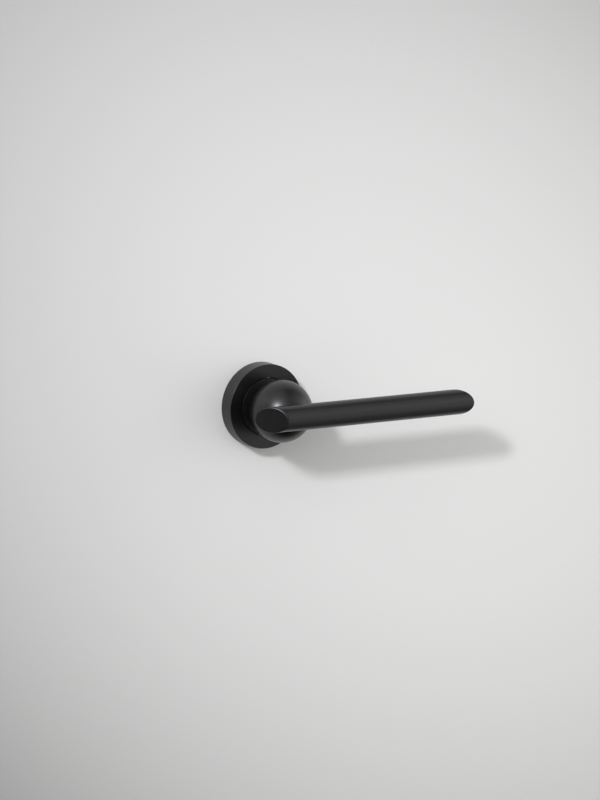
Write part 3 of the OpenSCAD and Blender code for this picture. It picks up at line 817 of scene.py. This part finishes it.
def grub_screw():
    ob = threaded_rod(3.0, 0.45, 1.0, 0, 9.4, 36, 0.6)
    ob = move(ob, Matrix.Translation((0, 0, 4.0)))
    ob = cut(ob, hexagon(3, 10.2, 15), cone(1.7, 2.2, 13.0, 13.6, 48))
    return at(move(ob, Matrix.Rotation(math.radians(90), 4, "X")), z=15)


# ------------------------------------------------------ through the door
def spindle():
    h, r = 4.0, 0.45
    base = fillet([(-h, -h), (h, -h), (h, h), (-h, h)], r, 6)
    y0, y1 = span("spindle", 1)
    rows = [(y0, 0.80), (y0 + 0.35, 0.84), (y0 + 1.5, 1.0), (y0 + 1.6, 1.0), (y1 - 1.6, 1.0), (y1 - 1.5, 1.0), (y1 - 0.35, 0.84), (y1, 0.80)]
    n = len(base)
    verts = [(x * s, y, z * s) for y, s in rows for x, z in base]
    faces = [[i * n + k, i * n + (k + 1) % n, (i + 1) * n + (k + 1) % n, (i + 1) * n + k]
             for i in range(len(rows) - 1) for k in range(n)]
    faces += [list(range(n)), list(range((len(rows) - 1) * n, len(rows) * n))[::-1]]
    return tidy(temp(verts, faces))


def sleeve_nuts():
    out = []
    for y in (-BOLT_Z, BOLT_Z):
        f0, f1 = BASE_H - 2.4, BASE_H - 1
        pts = [(0, -12), (3.5, -12), (3.5, f0), (4.2, f0), (4.2, f1), (0, f1)]
        ob = lathe(fillet(pts, {1: 0.35, 3: 0.15, 4: 0.25}, 4, closed=False), 96, closed=False)
        # the bore, its chamfered mouth and a slot across the flange are cut
        ob = cut(ob, cyl(2.03, -13, BASE_H - 3, 48), cone(2.7, 2.0, -12.1, -11.4, 48),
                 box((-5, -0.6, BASE_H - 1.9), (5, 0.6, BASE_H + 1)))
        out.append(at(ob, y=y))
    return several(*out)


def through_bolts():
    out = []
    for y in (-BOLT_Z, BOLT_Z):
        pts = [(0, 4), (3.9, 4), (3.9, 7), (0, 7)]
        head = lathe(fillet(pts, {1: 0.15, 2: 1.1}, 6, closed=False), 96, closed=False)
        head = cut(head, hexagon(3, 5, 8), cone(1.6, 2.1, 6.75, 7.2, 48))
        shank = cyl(2.0, -12, 4.2, 48)
        rod = threaded_rod(2.0, 0.36, 0.7, -DOOR + 1, -11.8, 28)
        out.append(at(several(head, shank, rod), y=y))
    return several(*out)


# ------------------------------------------------------------------ latch
def plate(x0, x1):
    l, w, r = 28.5, 12.5, 6.0
    ob = prism(fillet([(-l, -w), (l, -w), (l, w), (-l, w)], r, 14), x0, x1)
    return move(ob, Matrix(((0, 0, 1, 0), (0, 1, 0, 0), (-1, 0, 0, 0), (0, 0, 0, 1))))


def rect_hole(hy, hz, x0, x1, r=0.5):
    pts = fillet([(-hz, -hy), (hz, -hy), (hz, hy), (-hz, hy)], r, 4)
    return move(prism(pts, x0, x1), Matrix(((0, 0, 1, 0), (0, 1, 0, 0), (-1, 0, 0, 0), (0, 0, 0, 1))))


def latch_faceplate():
    ob = soften(plate(X_FACE, X_FOREND), 0.22, 3, 50)
    cuts = [rect_hole(6.15, 8.15, X_FACE - 1, X_FOREND + 1, 0.3)]
    return cut(ob, *cuts, *countersinks())


def countersinks():
    return [at(along_x(cone(4.2, 2.2, X_FACE - 0.3, X_FACE + 1.7, 72)), z=z) for z in (-21, 21)]


def latch_forend():
    ob = soften(plate(X_FOREND, X_TUBE0), 0.12, 2, 50)
    cuts = [at(along_x(cyl(2.2, X_FOREND - 1, X_TUBE0 + 1, 56)), z=z) for z in (-21, 21)]
    return cut(ob, *cuts, *countersinks(), along_x(cyl(11.03, X_FOREND - 1, X_TUBE0 + 1, 160)))


def latch_barrel():
    x0, x1 = X_FOREND + 0.1, -25.0
    pts = [(10.2, x0), (11.0, x0), (11.0, x1), (10.2, x1)]
    ob = along_x(lathe(fillet(pts, {2: 0.2, 3: 0.2}, 3), 160))
    return cut(ob, *[at(along_y(cyl(1.21, -20, 20, 32)), -27, 0, z) for z in (-6.4, 6.4)])


def latch_bolt():
    slope = [(float(p[0]), float(p[1])) for p in bend((X_NOSE, 2.8), (X_NOSE + 3.4, -3.0), (X_FACE - 0.4, -6), 20)]
    pts = [(-50, -6), (-50, 6), (X_NOSE, 6)] + slope
    ob = soften(prism(pts, -8, 8), 0.45, 4, 40)
    stem = along_x(lathe([(0, -51), (2.5, -51), (2.5, -27.42), (0, -27.42)], 64, closed=False))
    rivet = along_x(lathe(fillet([(0, -27.42), (3.4, -27.42), (3.4, -26.4), (0, -26.4)], {2: 0.7}, 5, closed=False), 64, closed=False))
    return join(ob, stem, rivet)


def latch_spring():
    r, w, p = 4.4, 0.45, 1.0
    length = 19.5 - 2 * w - 0.04
    turns, steps = 8.5, 44

    def zz(t):
        if t < 1:
            return p * t
        if t > turns - 1:
            return length - p * (turns - t)
        return p + (length - 2 * p) * (t - 1) / (turns - 2)

    path = [(r * math.cos(2 * math.pi * i / steps), r * math.sin(2 * math.pi * i / steps), zz(i / steps))
            for i in range(int(steps * turns) + 1)]
    return at(along_x(wire(path, w, 14)), -50 + w + 0.02)


def latch_spring_seat():
    return along_x(lathe(fillet([(2.7, -30.5), (10.17, -30.5), (10.17, -29), (2.7, -29)], 0.15, 3), 128))


def latch_yoke():
    x0 = -28.95
    tab = -10.3 * math.sin(math.radians(TURN / 2)) + 1.1
    x1 = tab + 1.4
    pts = [(x0, 5), (-21.5, 5), (-19, 11), (x1, 11), (x1, 7.3), (-17.2, 7.3),
           (-17.2, -7.3), (x1, -7.3), (x1, -11), (-19, -11), (-21.5, -5), (x0, -5)]
    pts = fillet(pts, {1: 1.0, 2: 1.2, 3: 0.5, 5: 0.8, 6: 0.8, 8: 0.5, 9: 1.2, 10: 1.0}, 5)
    ob = join(slab_y(pts, 3.5, 4.7), slab_y(pts, -4.7, -3.5), box((x0, -4, -5), (x0 + 1.5, 4, 5)),
              box((tab, -4, 8.5), (x1, 4, 11)), box((tab, -4, -11), (x1, 4, -8.5)))
    ob = cut(ob, along_x(cyl(2.53, x0 - 1, x0 + 3, 56)))
    return soften(ob, 0.14, 2, 50)


def latch_hub():
    phi = math.radians(TURN / 2)
    t = (-10.3 * math.sin(phi), 10.3 * math.cos(phi))
    b = (t[0] + 1.0 - 1.95, 5.2)
    g = 2 * math.degrees(math.atan2(b[1] - t[1], b[0] - t[0])) + 360
    claw = arc_pts(t, 1.0, 0, g, 14) + arc_pts(b, 1.95, g, 360, 20)
    low = [(x, -z) for x, z in claw][::-1]
    ob = along_y(lathe(fillet([(0, -6.9), (7, -6.9), (7, 6.9), (0, 6.9)], {1: 0.35, 2: 0.35}, 4, closed=False), 128, closed=False))
    ob = join(ob, along_y(cyl(8.3, -3.3, 3.3, 128, 0.15)), slab_y(claw, -3.3, 3.3), slab_y(low, -3.3, 3.3))
    s = 4.05
    mouths = []
    for d in (-1, 1):
        y0, y1 = d * 7.4, d * 6.4
        mouths.append(tidy(temp([(-s - .5, y0, -s - .5), (s + .5, y0, -s - .5), (s + .5, y0, s + .5), (-s - .5, y0, s + .5),
                                 (-s, y1, -s), (s, y1, -s), (s, y1, s), (-s, y1, s)],
                                [(0, 1, 2, 3), (7, 6, 5, 4), (0, 4, 5, 1), (1, 5, 6, 2), (2, 6, 7, 3), (3, 7, 4, 0)])))
    return cut(ob, box((-s, -10, -s), (s, 10, s)), *mouths)


def side_plate(y0, y1):
    pts = [(-29, -7.6), (-29, 7.6), (-24.8, 7.6), (-24.8, 10.4), (11.5, 10.4), (13.5, 8.4), (13.5, -8.4),
           (11.5, -10.4), (-24.8, -10.4), (-24.8, -7.6)]
    pts = fillet(pts, {0: 0.3, 1: 0.3, 3: 0.6, 4: 1.5, 5: 1.5, 6: 1.5, 7: 1.5, 8: 0.6}, 5)
    ob = soften(slab_y(pts, y0, y1), 0.14, 2, 50)
    return cut(ob, along_y(cyl(7.06, -20, 20, 96)), *[at(along_y(cyl(1.51, -20, 20, 40)), 10.8, 0, z) for z in (-6.5, 6.5)],
               *[at(along_y(cyl(1.21, -20, 20, 32)), -27, 0, z) for z in (-6.4, 6.4)])


def front_rivets():
    return several(*[at(along_y(cyl(1.2, -9.3, 9.3, 40, 0.3)), -27, 0, z) for z in (-6.4, 6.4)])


def rear_rivets():
    pts = [(0, -7.3), (2.5, -7.3), (2.5, -6.52), (1.5, -6.52), (1.5, -4.98), (2.2, -4.98), (2.2, 4.98), (1.5, 4.98),
           (1.5, 6.52), (2.5, 6.52), (2.5, 7.3), (0, 7.3)]
    pts = fillet(pts, {1: 0.6, 10: 0.6}, 5, closed=False)
    one = along_y(lathe(pts, 56, closed=False))
    return several(at(copy(one), 10.8, 0, -6.5), at(one, 10.8, 0, 6.5))


# ------------------------------------------------------------- assembly
for side, place, lever in (("outer", place_outer, OUTER), ("inner", place_inner, INNER)):
    def put(make, node, body, mat, slot, **kw):
        return done(make, f"{side}_{node}_form", place, body, [f"{side}_{node}"], mat, slot, **kw)

    put(lever_bar(), "lever_bar", lever, COAT, "black_coat", smooth=40)
    put(ball_hub(), "ball_hub", lever, COAT, "black_coat", smooth=28)
    put(bar_screw(), "bar_screw", lever, OXIDE, "black_oxide_steel")
    put(bar_dowels(), "bar_dowels", lever, BRIGHT, "bright_steel")
    put(grub_screw(), "grub_screw", lever, OXIDE, "black_oxide_steel")
    put(spring_driver(), "spring_driver", lever, PLATED, "zinc_plated_steel")
    put(thrust_washer(), "thrust_washer", lever, PLATED, "zinc_plated_steel")
    put(circlip(), "circlip", lever, OXIDE, "black_oxide_steel")
    put(bearing_bush(), "bearing_bush", ROOT, NYLON, "black_nylon", smooth=40)
    put(rose_cover(), "rose_cover", ROOT, COAT, "black_coat", smooth=40)
    put(rose_base(side == "inner"), "rose_base", ROOT, BASE_ZINC, "zinc_casting")
    s = put(return_spring(), "return_spring", ROOT, SPRING, "spring_steel", ride=False, weighted=False)
    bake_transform(s)

done(spindle(), "spindle_form", place_row, OUTER, ["spindle"], SPINDLE, "zinc_plated_steel")
done(sleeve_nuts(), "sleeve_nuts_form", place_outer, ROOT, ["sleeve_nuts"], PLATED, "zinc_plated_steel")
done(through_bolts(), "through_bolts_form", place_inner, ROOT, ["through_bolts"], PLATED, "zinc_plated_steel")

L = place_latch
done(latch_faceplate(), "latch_faceplate_form", L, ROOT, ["latch_faceplate"], INOX, "satin_stainless")
done(latch_forend(), "latch_forend_form", L, ROOT, ["latch_forend"], PLATED, "zinc_plated_steel")
done(latch_barrel(), "latch_barrel_form", L, ROOT, ["latch_barrel"], PLATED, "zinc_plated_steel")
done(latch_spring_seat(), "latch_spring_seat_form", L, ROOT, ["latch_spring_seat"], PLATED, "zinc_plated_steel")
done(side_plate(-6.5, -5), "latch_outer_side_plate_form", L, ROOT, ["latch_outer_side_plate"], PLATED, "zinc_plated_steel")
done(side_plate(5, 6.5), "latch_inner_side_plate_form", L, ROOT, ["latch_inner_side_plate"], PLATED, "zinc_plated_steel")
done(front_rivets(), "latch_front_rivets_form", L, ROOT, ["latch_front_rivets"], BRIGHT, "bright_steel")
done(rear_rivets(), "latch_rear_rivets_form", L, ROOT, ["latch_rear_rivets"], BRIGHT, "bright_steel")
done(latch_hub(), "latch_hub_form", L, HUB_BODY, ["latch_hub"], ZINC, "zinc_casting")
done(latch_bolt(), "latch_bolt_form", L, BOLT_BODY, ["latch_bolt"], NICKEL, "nickel_casting")
done(latch_yoke(), "latch_yoke_form", L, BOLT_BODY, ["latch_yoke"], PLATED, "zinc_plated_steel")
sp = done(latch_spring(), "latch_spring_form", L, ROOT, ["latch_spring"], SPRING, "spring_steel", weighted=False)
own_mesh(sp)


# ---------------------------------------------------------------- camera
AZ, EL, ROLL = math.radians(-33.50), math.radians(10.73), math.radians(1.55)
SCALE, DIST = 1.6404, 1900.0
B = Vector((math.sin(AZ) * math.cos(EL), -math.cos(AZ) * math.cos(EL), math.sin(EL)))
R0 = Vector((math.cos(AZ), math.sin(AZ), 0))
U0 = B.cross(R0)
R = math.cos(ROLL) * R0 + math.sin(ROLL) * U0
U = -math.sin(ROLL) * R0 + math.cos(ROLL) * U0
C = (-(257.79 - 300) / SCALE * R + (403.69 - 400) / SCALE * U + DIST * B) * MM
cam = bpy.data.objects.new("camera", bpy.data.cameras.new("camera"))
bpy.context.scene.collection.objects.link(cam)
cam.matrix_world = Matrix(((R.x, U.x, B.x, C.x), (R.y, U.y, B.y, C.y), (R.z, U.z, B.z, C.z), (0, 0, 0, 1)))
cam.data.sensor_width = 36
cam.data.lens = SCALE * DIST * 36 / 800
cam.data.clip_start, cam.data.clip_end = 0.05, 30
bpy.context.scene.camera = cam


# ----------------------------------------------------------------- stage
def pale(name, lo, hi, scale, rough=0.5, shine=0.5):
    m, nt, bs = new_mat(name)
    n = Net(nt)
    n.link(n.mix(n.noise(scale, 3.0, 0.6), lo, hi), bs.inputs["Base Color"])
    n.link(n.remap(n.noise(scale * 4, 2.0), 0.3, 0.7, rough - 0.03, rough + 0.03), bs.inputs["Roughness"])
    bs.inputs["Specular IOR Level"].default_value = shine
    return m


def sheet(name, corners, mat):
    me = bpy.data.meshes.new(name)
    me.from_pydata(corners, [], [(0, 1, 2, 3)])
    me.materials.append(mat)
    ob = bpy.data.objects.new(name, me)
    bpy.context.scene.collection.objects.link(ob)
    return ob


def backdrop_paint_with_painted_falloff():
    """White paint with painted shade: its colour is darkened towards the corners, standing in for the light falling
    away there: a quadratic in x and z, in metres.
    """
    m = pale("pale_paint_painted_falloff", (0.80, 0.80, 0.80), (0.815, 0.815, 0.815), 3.0)
    n = Net(m.node_tree)
    xyz = m.node_tree.nodes.new("ShaderNodeSeparateXYZ")
    n.link(n.co, xyz.inputs[0])
    x, z = xyz.outputs["X"], xyz.outputs["Z"]
    # painted shade: f darkens the paint towards the corners, standing in for light falling away
    f = n.math("MULTIPLY", x, n.math("ADD", 0.82, n.math("ADD", n.math("MULTIPLY", x, -2.7), n.math("MULTIPLY", z, -1.95))))
    f = n.math("ADD", f, n.math("MULTIPLY", z, n.math("ADD", 0.08, n.math("MULTIPLY", z, -3.6))))
    f = n.math("MINIMUM", n.math("MAXIMUM", n.math("ADD", 0.932, f), 0.3), 1.0)
    bs = [k for k in m.node_tree.nodes if k.type == "BSDF_PRINCIPLED"][0]
    paint = bs.inputs["Base Color"].links[0].from_socket
    scale = m.node_tree.nodes.new("ShaderNodeVectorMath")
    scale.operation = "SCALE"
    n.link(paint, scale.inputs[0])
    n.link(f, scale.inputs["Scale"])
    n.link(scale.outputs[0], bs.inputs["Base Color"])
    return m


PALE = backdrop_paint_with_painted_falloff()


def far_fade(m, near, far):
    """The floor dissolves into the room with distance, so no horizon line is drawn."""
    nt = m.node_tree
    n = Net(nt)
    length = nt.nodes.new("ShaderNodeVectorMath")
    length.operation = "LENGTH"
    n.link(n.co, length.inputs[0])
    f = n.remap(length.outputs["Value"], near, far, 0.0, 1.0, True)
    clear, both = nt.nodes.new("ShaderNodeBsdfTransparent"), nt.nodes.new("ShaderNodeMixShader")
    out = [k for k in nt.nodes if k.type == "OUTPUT_MATERIAL"][0]
    solid = out.inputs[0].links[0].from_socket
    n.link(f, both.inputs[0])
    n.link(solid, both.inputs[1])
    n.link(clear.outputs[0], both.inputs[2])
    n.link(both.outputs[0], out.inputs[0])
    return m


PALE_FLOOR = far_fade(pale("pale_floor", (0.60, 0.60, 0.595), (0.62, 0.62, 0.615), 3.0, 0.75, 0.2), 0.45, 2.3)
W = 0.0003
wall = sheet("backdrop", [(-1.6, W, -1.2), (1.8, W, -1.2), (1.8, W, 1.4), (-1.6, W, 1.4)], PALE)
floor = sheet("floor", [(-6, -6, -0.118), (6, -6, -0.118), (6, 6, -0.118), (-6, 6, -0.118)], PALE_FLOOR)


def drive_hidden(ob, expression):
    """The backdrop stands where the door's face would be. It is shown only from the photograph's viewpoint and at rest; from
    anywhere else, and at every other pose, the floor is shown in its place, so that the whole object can be seen."""
    d = ob.driver_add("hide_render").driver
    d.type = "SCRIPTED"
    for name, target, kind in (("cx", cam, "LOC_X"), ("ry", frame["bodies"][OUTER], "ROT_Y")):
        v = d.variables.new()
        v.name, v.type = name, "TRANSFORMS"
        v.targets[0].id = target
        v.targets[0].transform_type = kind
        v.targets[0].transform_space = "WORLD_SPACE"
    d.expression = expression


drive_hidden(wall, f"abs(cx - ({C.x:.6f})) > 0.001 or abs(ry) > 0.001")
drive_hidden(floor, f"abs(cx - ({C.x:.6f})) < 0.001 and abs(ry) < 0.001")


# ---------------------------------------------------------------- lights
def disk(name, direction, distance, diameter, power, color=(1, 1, 1)):
    li = bpy.data.lights.new(name, "AREA")
    li.shape, li.size, li.energy, li.color = "DISK", diameter, power, color
    ob = bpy.data.objects.new(name, li)
    bpy.context.scene.collection.objects.link(ob)
    d = Vector(direction).normalized()
    ob.location = Vector((0.04, 0, 0)) + d * distance
    ob.rotation_mode = "QUATERNION"
    ob.rotation_quaternion = d.to_track_quat("Z", "Y")
    return ob


# A soft window light from the upper left, and a weaker one behind for the views from the back.
key = bpy.data.lights.new("key", "AREA")
key.shape, key.size, key.size_y, key.energy, key.color = "RECTANGLE", 0.44, 0.34, 146.0, (0.965, 0.975, 1.0)
ob = bpy.data.objects.new("key", key)
bpy.context.scene.collection.objects.link(ob)
ob.location = (0.06 - 1.27 * 2, -2, -0.02 + 0.83 * 2)
ob.rotation_euler = (math.radians(90), 0, 0)
disk("rear", (1.0, 1.3, 1.5), 3.6, 1.5, 39.0)

world = bpy.data.worlds.new("world")
bpy.context.scene.world = world
world.use_nodes = True
nt = world.node_tree
nt.nodes.clear()
out = nt.nodes.new("ShaderNodeOutputWorld")
bg = nt.nodes.new("ShaderNodeBackground")
nt.links.new(bg.outputs[0], out.inputs[0])
n = Net(nt)
sky = nt.nodes.new("ShaderNodeTexCoord").outputs["Generated"]


def lobe(az, el, gain, wide=38):
    """A soft bright patch of the room, at az degrees from straight in front and el degrees up."""
    az, el = math.radians(az), math.radians(el)
    d = nt.nodes.new("ShaderNodeVectorMath")
    d.operation = "DOT_PRODUCT"
    nt.links.new(sky, d.inputs[0])
    d.inputs[1].default_value = (math.sin(az) * math.cos(el), -math.cos(az) * math.cos(el), math.sin(el))
    return n.remap(d.outputs["Value"], math.cos(math.radians(wide)), 1.0, 0.0, gain, True)


# the glow round the key light
room = lobe(-52, 27, 2.6, 24)
for az, el, gain in ((-85, -30, 0.18), (-15, -30, 0.27), (55, -30, 0.36), (-15, 0, 0.40), (55, 0, 1.07), (88, 0, 1.30),
                     (-85, 30, 0.36), (-15, 30, 0.62), (55, 30, 0.78), (-60, 62, 0.70), (20, 62, 0.19)):
    room = n.math("ADD", lobe(az, el, gain), room)
    if abs(az) < 80:
        # the same again behind the object, for the views from the back
        room = n.math("ADD", lobe(180 - az, el, 0.8 * gain), room)
# a dark patch in front and below, where a camera and its stand would be
room = n.math("MAXIMUM", n.math("ADD", lobe(-15, -12, -0.35, 22), room), 0.0)
seen = nt.nodes.new("ShaderNodeLightPath").outputs["Is Camera Ray"]
n.link(n.math("ADD", n.math("MULTIPLY", room, n.math("SUBTRACT", 1.0, seen)), n.math("MULTIPLY", seen, 0.72)), bg.inputs["Strength"])
bg.inputs["Color"].default_value = (1.0, 0.995, 0.975, 1)

view = bpy.context.scene.view_settings
view.view_transform = "Standard"
view.look = "None"
view.exposure, view.gamma = 0.0, 1.0
